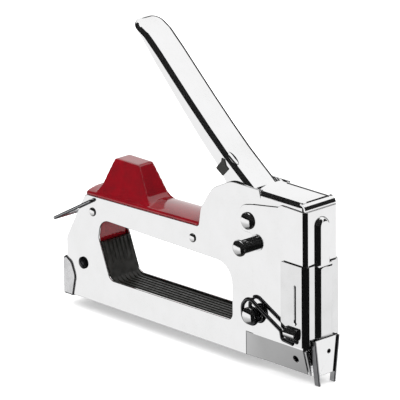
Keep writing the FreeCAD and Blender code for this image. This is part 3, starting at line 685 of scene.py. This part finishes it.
make_piece(bm, "sliding_sleeve", "nose_guide", SATIN_CHROME_WITH_PAINTED_SHADE, ["nose_sleeve"], sheet=THIN,
           edge=0.42)
dress(CHROME, "sleeve_guide_pins")


# ---- spring lugs ----------------------------------------------------------------------
# A half-round lug stands out at the foot of each side of the sleeve, for the wire spring's
# end to hook under.
LUG_RADIUS, LUG_LENGTH, LUG_Z = 3.7, 9.6, 31.4
bm = bmesh.new()
for side in (-1, 1):
    crest = bm.verts.new((-14.2, side * 14.6, LUG_Z + LUG_RADIUS))
    bmesh.ops.spin(bm, geom=[crest], cent=(0, side * 14.6, LUG_Z), axis=(1, 0, 0),
                   angle=side * -math.pi, steps=14)
    rim = [edge for edge in bm.edges if edge.is_wire]
    end = bmesh.ops.contextual_create(bm, geom=rim)["faces"]
    made = bmesh.ops.extrude_face_region(bm, geom=end)
    bmesh.ops.translate(bm, vec=(LUG_LENGTH, 0, 0), verts=made_verts(made))
make_piece(bm, "spring_lugs", "nose_guide", CHROME, [], edge=0.5)


# ---- cable fork -----------------------------------------------------------------------
# Two tapering prongs of thick steel, joined by a chromed web with a keyhole. The prongs' chrome
# is made darker to paint in the shade and dark reflections along their bends and in the gap behind
# them. They straddle a cable, so that the staple goes over it. The sleeve carries them.
# Painted shade: a darker copy of chrome on the prongs stands in for their shadows and dark
# reflections.
PRONG_CHROME_WITH_PAINTED_SHADE = finish("chrome darkened for painted shade", (0.34, 0.34, 0.35), (0.24, 0.24, 0.25), 1, (0.16, 0.30), 120, 0.03)
PRONG = 1.3
FORK_BACK, FORK_FRONT, FORK_WEB = 0.35, 4.4, 3.3
TIP_HALF, HEAD_HALF = 6.7, 10.2
bm = bmesh.new()
for side in (-1, 1):
    levels = []
    for out, z in ((TIP_HALF, 0), (HEAD_HALF, SLEEVE_BASE)):
        low_y, high_y = sorted((side * out, side * (out - PRONG)))
        levels.append(((FORK_BACK, low_y, z), (FORK_FRONT, high_y, z)))
    loft(bm, levels)
make_piece(bm, "fork_prongs", "nose_guide", PRONG_CHROME_WITH_PAINTED_SHADE, ["nose_fork"], edge=0.35)

bm = bmesh.new()
panel(bm, [(-6.15, 6, 0.5), (-8.9, SLEEVE_BASE, 0), (8.9, SLEEVE_BASE, 0), (6.15, 6, 0.5)],
      [round_hole(2.2, 19.5, 1.3)], 0)
bmesh.ops.rotate(bm, verts=bm.verts, cent=(0, 0, 0), matrix=QUARTER_TURN)
bmesh.ops.translate(bm, vec=(FORK_WEB, 0, 0), verts=bm.verts)
bm.normal_update()
made = bmesh.ops.extrude_face_region(bm, geom=bm.faces[:])
bmesh.ops.translate(bm, vec=(-SHEET, 0, 0), verts=made_verts(made))
make_piece(bm, "fork_web", "nose_guide", CHROME, [], edge=0.2)


# ---- wire springs and bail ------------------------------------------------------------
# Hard drawn steel wire: one spring each side, wound round the lower rivet and hooked under the
# sleeve's lug, and a long plated bail at the back that drops over the squeezed lever.
dress(WIRE, "left_guide_spring", "right_guide_spring")
dress(ZINC, "handle_bail")


# ---- rivets and pins ------------------------------------------------------------------
# Domed steel rivets, chromed, clench the tool at the pivot, at the nose and through the grip.
# The lower rivet and the cross pin stand out further on both sides, on thick shanks.
def turned(bm, spot, profile):
    """Round ends along Y on both sides at an (x, z) spot, from (distance out, radius) pairs."""
    for side in (-1, 1):
        line = chain(bm, [(spot[0] + radius, side * out, spot[1]) for out, radius in profile])
        bmesh.ops.spin(bm, geom=ends(line) + line, cent=(spot[0], 0, spot[1]), axis=(0, 1, 0),
                       angle=2 * math.pi, steps=40, use_merge=True)


def dome(seat, radius, height):
    """Profile of a domed head from its seat to its crown, with a short upright rim."""
    rim = height * 0.3
    profile = [(seat, 0.001), (seat, radius), (seat + rim * 0.7, radius)]
    for step in range(1, 9):
        angle = math.radians(11.25 * step)
        profile.append((seat + rim + (height - rim) * math.sin(angle),
                        max(radius * math.cos(angle), 0.001)))
    return profile


def shank(start, seat, radius):
    """Profile of the plain length between the plates and a head that stands out."""
    return [(start, radius), (seat, radius)]


for name, stands_for, heads in [
        ("pivot_rivet", "lever_pivot_pin", [((-47, 90.5), dome(13.35, 5.2, 2.4))]),
        ("lower_nose_rivet", "lower_rivet",
         [((-41.5, 35), shank(12.6, 18, 3) + dome(18, 5.2, 2.4)[1:])]),
        ("cross_pin_ends", "cross_pin",
         [((-47, 75.5), shank(12.5, 20, 4.1) + dome(20, 5, 2.6)[1:])]),
        ("grip_rivet_heads", "grip_rivets",
         [((-181.4, 64.2), dome(12.5, 2.7, 0.9)), ((-94.6, 68.6), dome(12.5, 2.7, 0.9))])]:
    bm = bmesh.new()
    for spot, profile in heads:
        turned(bm, spot, profile)
    make_piece(bm, name, "frame", CHROME, [stands_for])


# ---- rear screw -----------------------------------------------------------------------
# A blackened slotted screw holds the plates together at the back, through a plated spacer
# tube, with a nut on the left side.
dress(DARK, "rear_screw")
dress(ZINC, "rear_spacer", "rear_nut")
